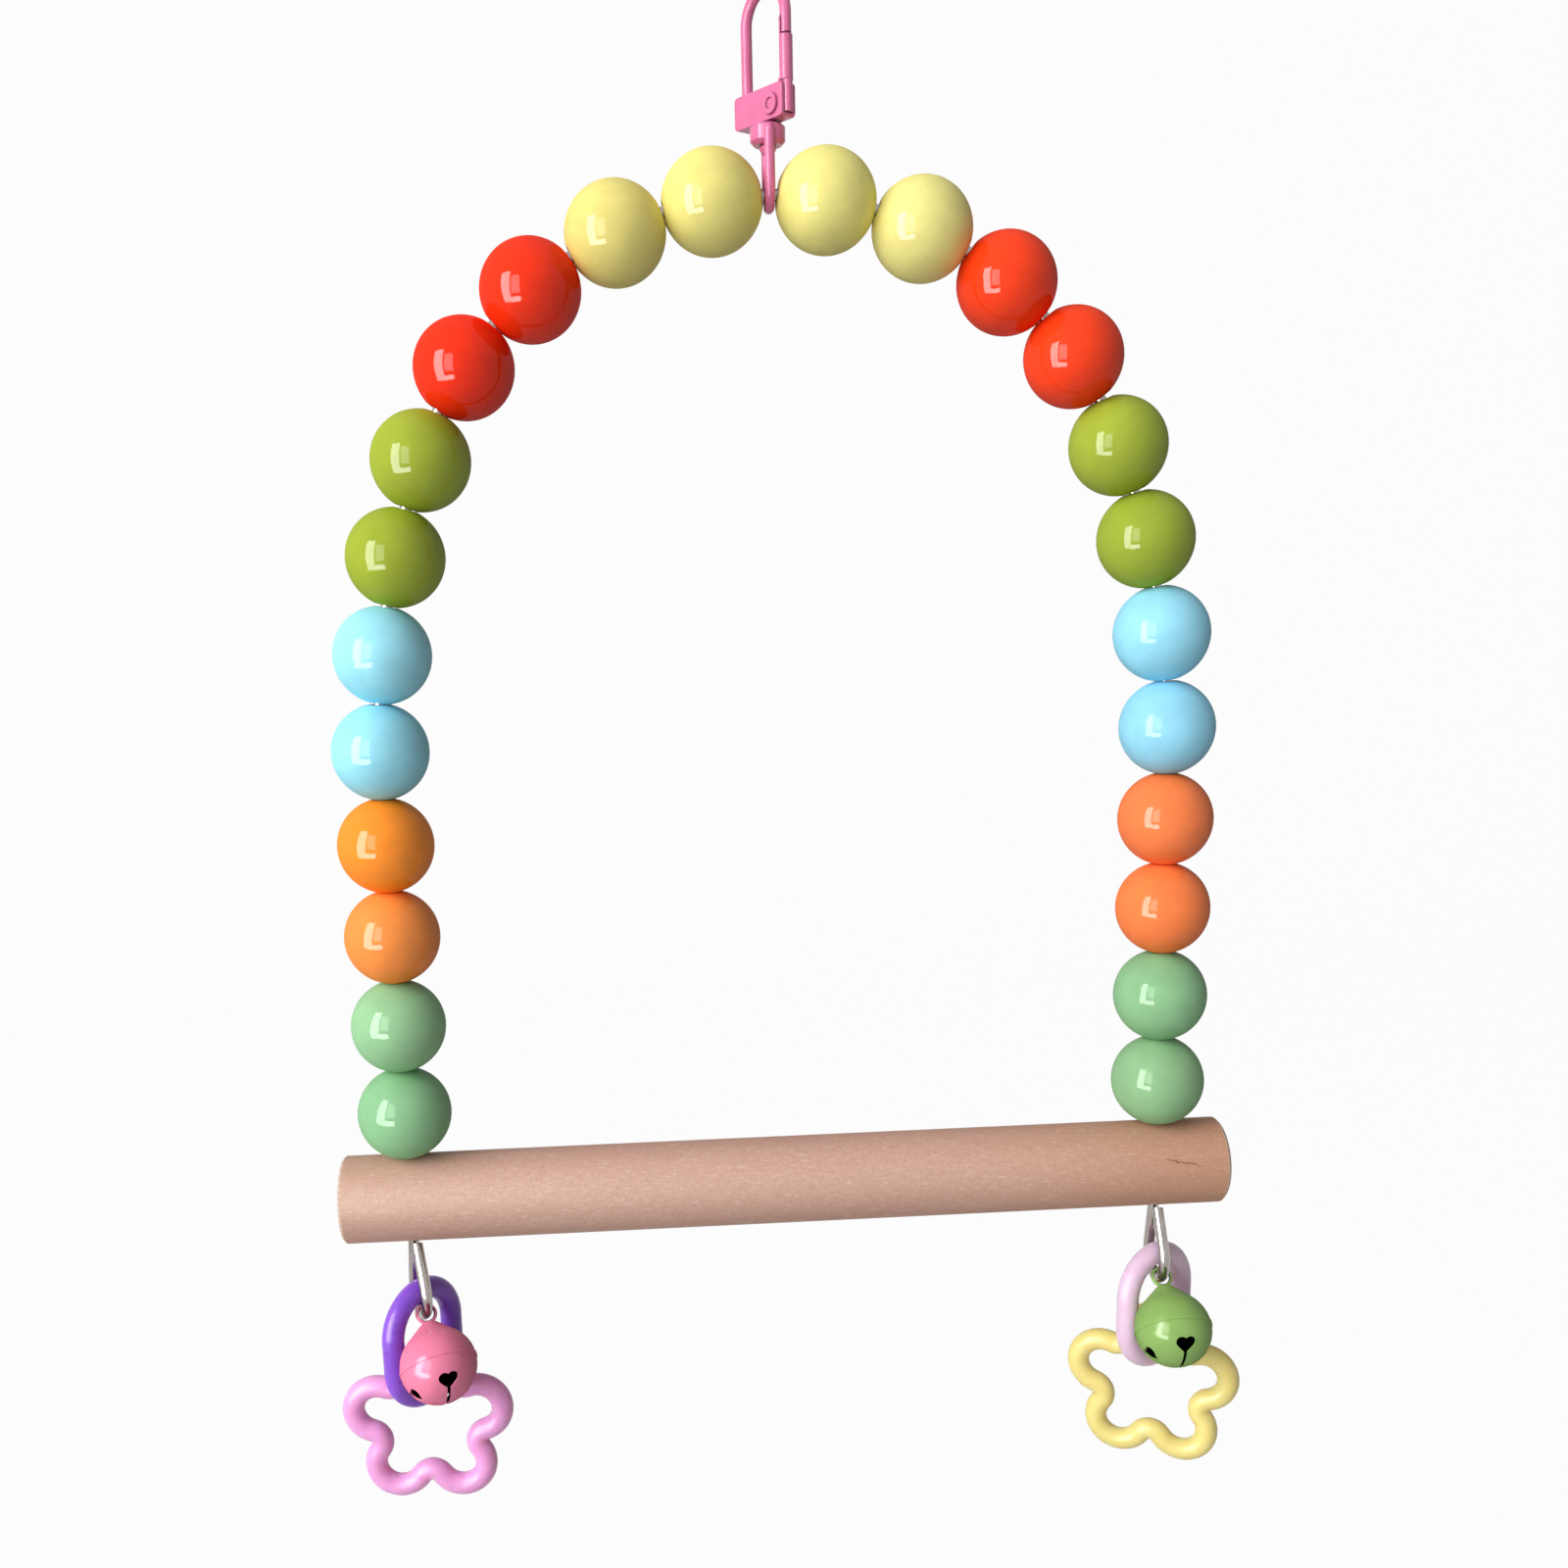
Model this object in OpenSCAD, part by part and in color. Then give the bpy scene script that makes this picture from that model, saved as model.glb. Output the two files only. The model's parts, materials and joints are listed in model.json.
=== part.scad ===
/* [Perch and frame wire] */
// Thickness of the frame wire
wire_d = 2.5; // [2.2:0.1:2.7]
// Half the distance between the two legs of the wire
half_span = 83; // [80:0.5:88]
// Radius of the crown of the arch
crown_r = 76.4; // [72:0.2:80]
// Angle that the crown covers to each side of its top
crown_angle = 69; // [62:1:72]
// Thickness of the round wooden perch
perch_d = 19; // [16:0.5:22]
// How far the perch goes on past each leg of the wire
perch_overhang = 14.2; // [12:0.2:22]
// Small chamfer at the ends of the perch
perch_edge = 0.6; // [0.3:0.1:1.2]
// Hole in the perch for each leg of the wire
perch_hole_d = 2.8; // [2.76:0.02:3]

/* [Beads] */
// Thickness of each bead
bead_d = 20; // [19:0.2:20.6]
// Width of the flat at each end of a bead
bead_flat_d = 4.86; // [4.2:0.02:6]
// Hole through each bead
bead_bore = 3.5; // [3.4:0.05:3.8]
// Free space between one bead and the next
bead_gap = 0.1; // [0.1:0.05:0.3]
// Free space between the swivel ring and the first bead
ring_bead_gap = 0.2; // [0.15:0.05:0.4]
// Beads on each side of the arch
bead_count = 12; // [12:1:12]

/* [Eyes under the perch] */
// How far each eye hangs below the perch
eye_drop = 16.5; // [15.5:0.1:17.5]
// Radius of the bottom of each eye
eye_r = 5.2; // [5:0.1:5.6]
// Radius of the bend just under the perch
eye_neck_r = 8; // [6:0.5:10]
// How far the back strand of each eye leans
eye_lean = 12; // [10:0.5:13]
// How far in front of the back strand the wire's tip ends
eye_tip_out = 2.8; // [2.76:0.02:3.2]
// Space between the wire's tip and the underside of the perch
eye_tip_gap = 0.5; // [0.4:0.1:1]
// Turn of the left eye about its leg
eye_turn_left = 22; // [15:1:25]
// Turn of the right eye about its leg
eye_turn_right = 0; // [-5:1:5]

/* [Link rings] */
// Width of each link ring over its tube
link_width = 23; // [22.5:0.1:24]
// Height of each link ring over its tube
link_height = 29.5; // [29:0.1:31]
// Thickness of the tube of each link ring
link_tube_d = 4.8; // [4.5:0.1:4.9]
// Turn of each link ring from the plane across its eye
link_turn = 32; // [30:1:34]
// How far behind the eye's centre the top of the link sits
link_back = 0.6; // [0.5:0.05:0.7]

/* [Star rings] */
// Distance from the star's centre to the centre of each lobe
star_lobe_centre_r = 11.8; // [11.4:0.1:12.4]
// Radius of each lobe's centre line
star_lobe_r = 5.5; // [5.3:0.1:5.8]
// Radius of each notch's centre line
star_notch_r = 2.8; // [2.7:0.1:3.2]
// Thickness of the star's tube
star_tube_d = 4.9; // [4.6:0.1:5]
// How much thinner the tube is in the notches
star_notch_thinner = 0.06; // [0.05:0.01:0.1]
// Turn of each star from the plane across its eye, the other way
star_turn = 26; // [25:1:28]
// How far the star's centre hangs below the link's bottom tube
star_drop = 7.4; // [7:0.05:7.6]

/* [Bells] */
// Thickness of each bell
bell_d = 16.5; // [16:0.1:16.6]
// Thickness of the bell's sheet metal
bell_wall = 0.5; // [0.4:0.05:0.7]
// How far the crimped seam stands out
bell_seam_out = 0.16; // [0.12:0.02:0.3]
// Height of the crimped seam
bell_seam_height = 0.8; // [0.6:0.1:1.2]
// Angle from the bell's axis at which its neck leaves the ball
bell_neck_angle = 38; // [34:1:42]
// Width of the bell's neck at its top
bell_neck_top_d = 3.6; // [3:0.1:4]
// Hole in the bell's loop
loop_hole_d = 3.2; // [3.15:0.05:3.3]
// Thickness of the loop's wire
loop_wire_d = 0.8; // [0.7:0.05:0.85]
// Distance from the ball to the centre of its loop
bell_neck_length = 3.55; // [3.4:0.05:3.9]
// How far the loop's centre lies outside the eye's wire
loop_out = 0.25; // [0.22:0.01:0.28]
// How far the bell keeps from the flat space that the link's tube lies in
bell_link_gap = 0.02; // [0.01:0.01:0.1]
// Width of each heart cut in the bell
heart_width = 4.2; // [3.6:0.1:4.6]
// Angle of each heart from the bottom of the bell
heart_angle = 46; // [40:1:50]
// Number of hearts cut in the bell
heart_count = 4; // [4:1:4]
// Width of the slits between the hearts
slit_width = 0.8; // [0.6:0.1:1]
// Thickness of the loose pellet in the bell
pellet_d = 4; // [3.6:0.1:4.4]
// Free space round a pellet that lies in its bell
pellet_gap = 0.3; // [0.2:0.05:0.4]

/* [Hanging hook] */
// Thickness of the hook's wire
hook_wire_d = 2.2; // [2:0.05:2.4]
// Radius of the hook's bend
hook_r = 5.75; // [5.5:0.05:6]
// How far the hook's nose goes on below its bend
hook_nose = 3.7; // [3.2:0.1:4.2]
// Height of the half lap between the nose and the gate
lap_height = 3; // [2.5:0.1:3.1]
// Free space between the nose and the gate
lap_gap = 0.35; // [0.3:0.05:0.4]
// Turn of the hook about the hanging axis
hook_turn = 54.3; // [0:0.1:90]
// Distance from the hang point to the top of the block
block_drop = 16.95; // [16.5:0.05:18]
// Length of the block
block_length = 14.05; // [13.8:0.05:14.4]
// Thickness of the block over its two plates
block_t = 3.4; // [3.3:0.05:3.6]
// Height of the block
block_height = 6; // [5.9:0.05:6.4]
// Radius of the block's corners
block_corner_r = 0.8; // [0.5:0.1:1]
// How far the block's middle lies to the side of the hanging axis
block_shift = 0.75; // [0.6:0.05:0.9]
// Thickness of each plate of the block
plate_t = 0.6; // [0.5:0.05:0.65]
// Thickness of the floor under the pocket
pocket_floor = 0.5; // [0.4:0.05:0.55]
// Distance of the pocket's inner end from the hanging axis
pocket_start = 1; // [0.95:0.05:1.05]

/* [Gate] */
// Thickness of the gate's bar
gate_bar_d = 2.6; // [2.4:0.05:2.7]
// Thickness of the gate where it lies between the plates
gate_flat_t = 2; // [1.9:0.05:2.05]
// How far the gate's foot stays below the top of the block
gate_step = 0.2; // [0.1:0.05:0.4]
// Distance of the gate's pin from the hanging axis
gate_pin_out = 3.15; // [3.1:0.05:3.25]
// Height of the gate's pin above the bottom of the block
gate_pin_up = 2.6; // [2.55:0.05:2.65]
// Thickness of the gate's pin
gate_pin_d = 1.6; // [1.5:0.05:1.65]
// Width of the round end of the gate about its pin
gate_eye_d = 3.8; // [3.7:0.05:3.85]
// Width of each head of the pin
pin_head_d = 3.7; // [3.4:0.1:3.9]
// Height of each head of the pin
pin_head_h = 0.6; // [0.5:0.05:0.8]
// Width of the hollow in each head of the pin
pin_dimple_d = 2.1; // [1.8:0.1:2.4]
// Depth of the hollow in each head of the pin
pin_dimple_depth = 0.3; // [0.2:0.05:0.4]
// Width of the spring round the pin
spring_d = 3; // [2.9:0.05:3.1]
// Length of the spring along the pin
spring_length = 0.7; // [0.6:0.05:0.75]
// Width of the slot in the gate for its spring
spring_slot = 0.9; // [0.86:0.02:1]

/* [Swivel] */
// Thickness of the swivel's stem
stem_d = 2.4; // [2.2:0.05:2.5]
// Thickness of the stem's top where it is set in the block
stem_tenon_d = 1.6; // [1.4:0.05:1.65]
// Depth to which the stem is set in the block
stem_tenon_h = 2.4; // [2:0.1:2.8]
// Width of the shoulder between block and collar
shoulder_d = 3.2; // [3.1:0.05:3.3]
// Height of the shoulder between block and collar
shoulder_h = 0.35; // [0.3:0.05:0.5]
// Width of the stem's peened head
stem_head_d = 3.3; // [3.2:0.05:3.4]
// Height of the stem's peened head
stem_head_h = 1.4; // [1.2:0.1:1.6]
// Height of the swivel's collar
collar_h = 3.6; // [3.4:0.1:3.8]
// Width of the round collar
collar_d = 6.9; // [6.7:0.05:7.2]
// Bevel along the collar's lower edge
collar_bevel = 0.7; // [0.5:0.1:0.9]
// Bevel along the collar's upper edge
collar_top_bevel = 0.4; // [0.3:0.05:0.5]
// How far below the collar's top the round ends of the ring's wire lie
ring_end_drop = 0.25; // [0.2:0.05:0.4]
// Thickness of the swivel ring's wire
ring_wire_d = 2.05; // [1.95:0.05:2.1]
// Radius of the swivel ring's bottom bend
ring_r = 3.3; // [3.3:0.02:3.4]
// Drop from the hang point to the middle of the crown's wire
crown_drop = 35.93; // [35.9:0.01:36.2]

/* [Fits] */
// Free space round a pin or stem that turns
run_gap = 0.05; // [0.04:0.01:0.08]
// Free space between the frame wire and what hangs on it
hang_gap = 0.1; // [0.08:0.01:0.12]
// Free space round a pin that stays put
set_gap = 0.01; // [0.01:0.01:0.02]
// Distance by which a cut passes the face that it opens
overrun = 1; // [0.8:0.1:1.2]
// Length by which joined lengths of tube reach into each other
tube_lap = 0.15; // [0.1:0.01:0.18]
// How much thinner every second length of frame wire is
wire_step = 0.02; // [0.02:0.01:0.03]

/* [Hidden] */
sides = ["left", "right"];
bead_names = [for (side = sides) for (i = [1 : bead_count]) str("bead_", side, "_", i)];
$fn = 64;

// The arch: a crown, a flatter shoulder and a straight leg that meet without a kink
shoulder_r = (half_span - crown_r * sin(crown_angle)) / (1 - sin(crown_angle));
crown_centre_z = -crown_drop - crown_r;
shoulder_centre_x = (crown_r - shoulder_r) * sin(crown_angle);
shoulder_centre_z = crown_centre_z + (crown_r - shoulder_r) * cos(crown_angle);
crown_run = crown_r * crown_angle * PI / 180;
shoulder_run = shoulder_r * (90 - crown_angle) * PI / 180;

// Heading below level, distance out and height of the arch at a distance along its wire
function heading(run) = run < crown_run ? run / crown_r * 180 / PI
    : run < crown_run + shoulder_run ? crown_angle + (run - crown_run) / shoulder_r * 180 / PI
    : 90;
function arch_x(run) = run < crown_run ? crown_r * sin(heading(run))
    : run < crown_run + shoulder_run ? shoulder_centre_x + shoulder_r * sin(heading(run))
    : half_span;
function arch_z(run) = run < crown_run ? crown_centre_z + crown_r * cos(heading(run))
    : run < crown_run + shoulder_run ? shoulder_centre_z + shoulder_r * cos(heading(run))
    : shoulder_centre_z - (run - crown_run - shoulder_run);

// Beads: each one's flat end meets the next one's at its inner edge
bead_flat_r = bead_flat_d / 2;
bead_length = 2 * sqrt(pow(bead_d / 2, 2) - pow(bead_flat_r, 2));
first_reach = bead_length / 2 + ring_wire_d / 2 + ring_bead_gap;
first_turn = asin((first_reach + bead_flat_r * first_reach / crown_r) / crown_r);
first_run = crown_r * first_turn * PI / 180;
function bead_chord(turn) = bead_length * cos(turn) + 2 * bead_flat_r * sin(turn) + bead_gap;
function next_run(run, tries) = tries == 0 ? run + bead_chord(0)
    : let (half_turn = (heading(next_run(run, tries - 1)) - heading(run)) / 2,
           chord = bead_chord(half_turn))
      run + (half_turn == 0 ? chord : chord * half_turn * PI / 180 / sin(half_turn));
bead_runs = [for (i = 0, run = first_run; i < bead_count; i = i + 1, run = next_run(run, 3)) run];
function bead_sag(run) = run < crown_run ? pow(bead_length, 2) / crown_r / 16
    : run < crown_run + shoulder_run ? pow(bead_length, 2) / shoulder_r / 16
    : 0;
perch_top_z = arch_z(bead_runs[bead_count - 1]) - bead_length / 2 - bead_gap;
perch_z = perch_top_z - perch_d / 2;
perch_under_z = perch_z - perch_d / 2;
perch_length = 2 * (half_span + perch_overhang);

// The eye, in the plane across its leg: out to the front and up from the perch's underside
eye_strand = (eye_drop - eye_r - eye_neck_r * sin(eye_lean) - eye_r * sin(eye_lean)) / cos(eye_lean);
eye_out = -eye_neck_r * (1 - cos(eye_lean)) - eye_strand * sin(eye_lean) + eye_r * cos(eye_lean);
eye_up = eye_r - eye_drop;
tip_dx = eye_tip_out - eye_out;
tip_dz = -eye_tip_gap - eye_up;
tip_far = sqrt(pow(tip_dx, 2) + pow(tip_dz, 2));
eye_front_angle = atan2(tip_dz, tip_dx) - acos(eye_r / tip_far);
eye_front_length = sqrt(pow(tip_far, 2) - pow(eye_r, 2));

link_bottom_z = eye_up - link_height + link_tube_d;

// The star: notch arcs that meet the lobe arcs without a kink
notch_out = star_lobe_centre_r * cos(36)
    + sqrt(pow(star_lobe_r + star_notch_r, 2) - pow(star_lobe_centre_r * sin(36), 2));
lobe_half = atan2(notch_out * sin(36), notch_out * cos(36) - star_lobe_centre_r);
notch_half = 180 - atan2(star_lobe_centre_r * sin(36), star_lobe_centre_r * cos(36) - notch_out);
notch_lap = tube_lap / star_notch_r * 180 / PI;

bell_out = eye_r + loop_out;
loop_r = (loop_hole_d + loop_wire_d) / 2;
bell_r = bell_d / 2;
bell_inner_r = bell_r - bell_wall;
loop_to_ball = bell_r + bell_neck_length;
// The bell leans out until its ball just clears the link
bell_clear_out = (bell_r + link_tube_d / 2 + bell_link_gap) / cos(link_turn) - link_back;
bell_angle = acos(bell_clear_out / (bell_out + loop_to_ball));
neck_top = loop_to_ball - loop_r - loop_wire_d / 2 - set_gap;
neck_foot = bell_r * cos(bell_neck_angle);
neck_foot_r = bell_r * sin(bell_neck_angle) - set_gap;
shank_end = bell_inner_r - loop_wire_d;

block_top_z = -block_drop;
block_under_z = block_top_z - block_height;
gate_pin_z = block_under_z + gate_pin_up;
hook_centre_z = -hook_r + hook_wire_d / 2;
nose_z = hook_centre_z - hook_nose;
lap_top_z = nose_z + lap_height;
collar_top_z = block_under_z - shoulder_h - run_gap;
collar_under_z = collar_top_z - collar_h;
ring_centre_z = -crown_drop - wire_d / 2 - ring_wire_d / 2 - hang_gap + ring_r;

pink_paint = "#ee82b4";
bare_steel = "#b9b8b4";
beech = "#d8b090";
bead_colours = ["#ebe48f", "#ee4a2a", "#9eb043", "#9fdcf6", "#fb8f4c", "#97d3a4"];
link_colours = ["#6f3bb8", "#e2b0d0"];
star_colours = ["#f09bd6", "#f1e07c"];
bell_colours = ["#ea7f9e", "#84ad55"];

// A length of round wire bent about the z axis
module bent_tube(r, d, from, turn) {
    rotate([0, 0, from]) rotate_extrude(angle = turn) translate([r, 0]) circle(d = d);
}

// Plate of thickness t that lies flat, with its four corners rounded
module round_cornered_plate(length, width, t, r) {
    linear_extrude(t) {
        translate([r, 0]) square([length - 2 * r, width]);
        translate([0, r]) square([length, width - 2 * r]);
        for (x = [r, length - r]) for (y = [r, width - r]) translate([x, y]) circle(r = r);
    }
}

// Turns a shape drawn flat so that its y direction points up and it faces along x
module in_cross_plane() {
    rotate([90, 0, 90]) children();
}

// Puts a shape under the perch on one side, with x across the eye, y to the back and z up
module at_pendant(side) {
    left = side == "left";
    translate([left ? -half_span : half_span, 0, perch_under_z])
        rotate([0, 0, left ? eye_turn_left : eye_turn_right])
            children();
}

// Puts a shape at the eye's centre with its z axis towards the bell's loop
module at_bell_axis(side) {
    at_pendant(side)
        translate([0, -eye_out, eye_up])
            rotate([bell_angle - 90, 0, 0])
                rotate([180, 0, 0])
                    children();
}

module hook_body() {
    color(pink_paint) rotate([0, 0, -hook_turn]) {
        difference() {
            union() {
                rotate([90, 0, 0]) translate([0, hook_centre_z, 0]) bent_tube(hook_r, hook_wire_d, 0, 180);
                translate([hook_r, 0, nose_z]) cylinder(d = hook_wire_d, h = hook_nose);
            }
            translate([0, -hook_wire_d / 2 - overrun, nose_z - overrun])
                cube([hook_r, hook_wire_d + 2 * overrun, lap_height + overrun]);
        }
        translate([-hook_r, 0, block_top_z - overrun])
            cylinder(d = hook_wire_d, h = hook_centre_z - block_top_z + overrun);
        difference() {
            translate([-block_shift - block_length / 2, block_t / 2, block_under_z])
                rotate([90, 0, 0]) round_cornered_plate(block_length, block_height, block_t, block_corner_r);
            translate([pocket_start, plate_t - block_t / 2, block_under_z + pocket_floor])
                cube([block_length, block_t - 2 * plate_t, block_height]);
            translate([gate_pin_out, block_t, gate_pin_z])
                rotate([90, 0, 0]) cylinder(d = gate_pin_d + 2 * set_gap, h = 2 * block_t);
            translate([0, 0, block_under_z - overrun])
                cylinder(d = stem_tenon_d + 2 * set_gap, h = stem_tenon_h + overrun);
        }
    }
}

module gate() {
    tongue_top_z = lap_top_z - lap_gap;
    bar_top_z = nose_z - lap_gap;
    bar_start_z = block_top_z + lap_gap;
    foot_under_z = gate_pin_z - gate_eye_d / 2;
    foot_round_x = hook_r + gate_bar_d / 2 - gate_flat_t / 2;
    color(pink_paint) rotate([0, 0, -hook_turn]) difference() {
        union() {
            translate([hook_r, 0, bar_start_z]) cylinder(d = gate_bar_d, h = bar_top_z - bar_start_z);
            intersection() {
                translate([hook_r, 0, bar_start_z]) cylinder(d = gate_bar_d, h = tongue_top_z - bar_start_z);
                translate([0, -gate_bar_d, bar_start_z])
                    cube([hook_r - lap_gap / 2, 2 * gate_bar_d, tongue_top_z - bar_start_z]);
            }
            translate([gate_pin_out, -gate_flat_t / 2, foot_under_z])
                cube([foot_round_x - gate_pin_out, gate_flat_t, block_top_z - gate_step - foot_under_z]);
            translate([foot_round_x, 0, foot_under_z])
                cylinder(d = gate_flat_t, h = bar_start_z + overrun - foot_under_z);
            translate([hook_r - gate_bar_d / 2, -gate_flat_t / 2, foot_under_z])
                cube([foot_round_x - hook_r + gate_bar_d / 2, gate_flat_t,
                    bar_start_z + overrun / 2 - foot_under_z]);
            translate([gate_pin_out, gate_flat_t / 2, gate_pin_z])
                rotate([90, 0, 0]) cylinder(d = gate_eye_d, h = gate_flat_t);
        }
        translate([gate_pin_out, block_t, gate_pin_z])
            rotate([90, 0, 0]) cylinder(d = gate_pin_d + 2 * run_gap, h = 2 * block_t);
        translate([gate_pin_out, spring_slot / 2, gate_pin_z])
            rotate([90, 0, 0]) cylinder(d = gate_eye_d - lap_gap, h = spring_slot);
        translate([gate_pin_out - gate_eye_d, -spring_slot / 2, gate_pin_z - gate_eye_d])
            cube([gate_eye_d, spring_slot, 2 * gate_eye_d]);
    }
}

module gate_pin() {
    color(pink_paint) rotate([0, 0, -hook_turn]) translate([gate_pin_out, 0, gate_pin_z]) difference() {
        rotate([90, 0, 0]) {
            cylinder(d = gate_pin_d, h = block_t + pin_head_h, center = true);
            for (end = [0, 1]) mirror([0, 0, end]) translate([0, 0, block_t / 2])
                cylinder(d = pin_head_d, h = pin_head_h);
        }
        rotate([90, 0, 0]) for (end = [0, 1]) mirror([0, 0, end])
            translate([0, 0, block_t / 2 + pin_head_h - pin_dimple_depth])
                cylinder(d = pin_dimple_d, h = pin_dimple_depth + overrun);
    }
}

module gate_spring() {
    color(bare_steel) rotate([0, 0, -hook_turn]) translate([gate_pin_out, 0, gate_pin_z])
        rotate([90, 0, 0]) difference() {
            cylinder(d = spring_d, h = spring_length, center = true);
            cylinder(d = gate_pin_d + 2 * run_gap, h = spring_length + 2 * overrun, center = true);
        }
}

module swivel_stem() {
    shaft_h = shoulder_h + collar_h + 2 * run_gap;
    color(pink_paint) translate([0, 0, block_under_z]) {
        cylinder(d = stem_tenon_d, h = stem_tenon_h - set_gap);
        translate([0, 0, -shoulder_h]) cylinder(d = shoulder_d, h = shoulder_h);
        translate([0, 0, -shaft_h]) cylinder(d = stem_d, h = shaft_h);
        translate([0, 0, -shaft_h - stem_head_h / 2]) cylinder(d = stem_head_d, h = stem_head_h / 2);
        translate([0, 0, -shaft_h - stem_head_h])
            cylinder(d1 = stem_d, d2 = stem_head_d, h = stem_head_h / 2);
    }
}

module swivel_ring() {
    strand_end_z = collar_top_z - ring_end_drop - ring_wire_d / 2;
    color(pink_paint) {
        translate([0, 0, collar_under_z]) difference() {
            union() {
                cylinder(d1 = collar_d - 2 * collar_bevel, d2 = collar_d, h = collar_bevel);
                translate([0, 0, collar_bevel])
                    cylinder(d = collar_d, h = collar_h - collar_bevel - collar_top_bevel);
                translate([0, 0, collar_h - collar_top_bevel])
                    cylinder(d1 = collar_d, d2 = collar_d - 2 * collar_top_bevel, h = collar_top_bevel);
            }
            translate([0, 0, -overrun]) cylinder(d = stem_d + 2 * run_gap, h = collar_h + 2 * overrun);
        }
        translate([0, 0, ring_centre_z]) in_cross_plane() bent_tube(ring_r, ring_wire_d, 180, 180);
        for (y = [-ring_r, ring_r]) translate([0, y, ring_centre_z]) {
            cylinder(d = ring_wire_d, h = strand_end_z - ring_centre_z);
            translate([0, 0, strand_end_z - ring_centre_z]) sphere(d = ring_wire_d);
        }
    }
}

module eye_wire(side) {
    thin_d = wire_d - wire_step;
    thin_neck_lap = tube_lap / eye_neck_r * 180 / PI;
    // from the perch's underside the wire leans back, runs round the eye and up again
    at_pendant(side) mirror([0, 1, 0]) in_cross_plane() {
        translate([-eye_neck_r, 0, 0])
            bent_tube(eye_neck_r, thin_d, -eye_lean - thin_neck_lap, eye_lean + 2 * thin_neck_lap);
        translate([eye_out - eye_r * cos(eye_lean), eye_up + eye_r * sin(eye_lean), 0])
            rotate([-90, 0, -eye_lean]) cylinder(d = wire_d, h = eye_strand);
        translate([eye_out, eye_up, 0]) bent_tube(eye_r, thin_d,
            180 - eye_lean - tube_lap / eye_r * 180 / PI,
            180 + eye_lean + eye_front_angle + 2 * tube_lap / eye_r * 180 / PI);
        translate([eye_out, eye_up, 0]) rotate([0, 0, eye_front_angle]) translate([eye_r, 0, 0])
            rotate([-90, 0, 0]) cylinder(d = wire_d, h = eye_front_length);
    }
}

module frame_wire() {
    shoulder_lap = tube_lap / shoulder_r * 180 / PI;
    color(bare_steel) {
        rotate([90, 0, 0]) {
            translate([0, crown_centre_z, 0]) bent_tube(crown_r, wire_d, 90 - crown_angle, 2 * crown_angle);
            for (m = [0, 1]) mirror([m, 0, 0]) translate([shoulder_centre_x, shoulder_centre_z, 0])
                bent_tube(shoulder_r, wire_d - wire_step, -shoulder_lap, 90 - crown_angle + 2 * shoulder_lap);
        }
        for (x = [-half_span, half_span]) translate([x, 0, perch_under_z])
            cylinder(d = wire_d, h = shoulder_centre_z - perch_under_z);
        for (side = sides) eye_wire(side);
    }
}

module perch() {
    color(beech) difference() {
        translate([-perch_length / 2, 0, perch_z]) rotate([0, 90, 0]) {
            translate([0, 0, perch_edge]) cylinder(d = perch_d, h = perch_length - 2 * perch_edge);
            cylinder(d1 = perch_d - 2 * perch_edge, d2 = perch_d, h = perch_edge);
            translate([0, 0, perch_length - perch_edge])
                cylinder(d1 = perch_d, d2 = perch_d - 2 * perch_edge, h = perch_edge);
        }
        for (x = [-half_span, half_span]) translate([x, 0, perch_under_z - overrun])
            cylinder(d = perch_hole_d, h = perch_d + 2 * overrun);
    }
}

module bead(side, i) {
    run = bead_runs[i - 1];
    turn = heading(run);
    sag = bead_sag(run);
    color(bead_colours[floor((i - 1) / 2)])
        mirror([side == "left" ? 1 : 0, 0, 0])
            translate([arch_x(run) - sag * sin(turn), 0, arch_z(run) - sag * cos(turn)])
                rotate([0, 90 + turn, 0])
                    difference() {
                        intersection() {
                            sphere(d = bead_d);
                            cube([bead_d + overrun, bead_d + overrun, bead_length], center = true);
                        }
                        cylinder(d = bead_bore, h = bead_d, center = true);
                    }
}

module link(side) {
    bend_r = (link_width - link_tube_d) / 2;
    half = (link_height - link_width) / 2;
    color(link_colours[side == "left" ? 0 : 1]) at_pendant(side)
        translate([0, link_back - eye_out, eye_up - link_height / 2 + link_tube_d / 2])
            rotate([0, 0, link_turn]) rotate([90, 0, 0]) {
                for (m = [0, 1]) mirror([0, m, 0]) translate([0, half, 0])
                    bent_tube(bend_r, link_tube_d, 0, 180);
                for (x = [-bend_r, bend_r]) translate([x, 0, 0]) rotate([90, 0, 0])
                    cylinder(d = link_tube_d - wire_step, h = 2 * half + 2 * tube_lap, center = true);
            }
}

module star(side) {
    color(star_colours[side == "left" ? 0 : 1]) at_pendant(side)
        translate([0, link_back - eye_out, link_bottom_z - star_drop])
            rotate([90, 0, -star_turn]) for (k = [0 : 4]) rotate([0, 0, 90 + 72 * k]) {
                translate([star_lobe_centre_r, 0, 0])
                    bent_tube(star_lobe_r, star_tube_d, -lobe_half, 2 * lobe_half);
                rotate([0, 0, 36]) translate([notch_out, 0, 0])
                    bent_tube(star_notch_r, star_tube_d - star_notch_thinner,
                        180 - notch_half - notch_lap, 2 * (notch_half + notch_lap));
            }
}

// The four bell pieces are drawn with the ball's centre below the loop, along the loop's axis
module at_ball(side) {
    at_bell_axis(side) translate([0, 0, bell_out + loop_to_ball]) rotate([180, 0, 0]) children();
}

module bell_loop(side) {
    color(bell_colours[side == "left" ? 0 : 1]) at_ball(side) {
        translate([0, 0, loop_to_ball]) rotate([90, 0, 0]) rotate_extrude()
            translate([loop_r, 0]) circle(d = loop_wire_d);
        translate([0, 0, shank_end]) cylinder(d = loop_wire_d, h = loop_to_ball - loop_r - shank_end);
        translate([0, 0, shank_end - loop_wire_d]) cylinder(d = 2 * loop_wire_d, h = loop_wire_d);
    }
}

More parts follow.
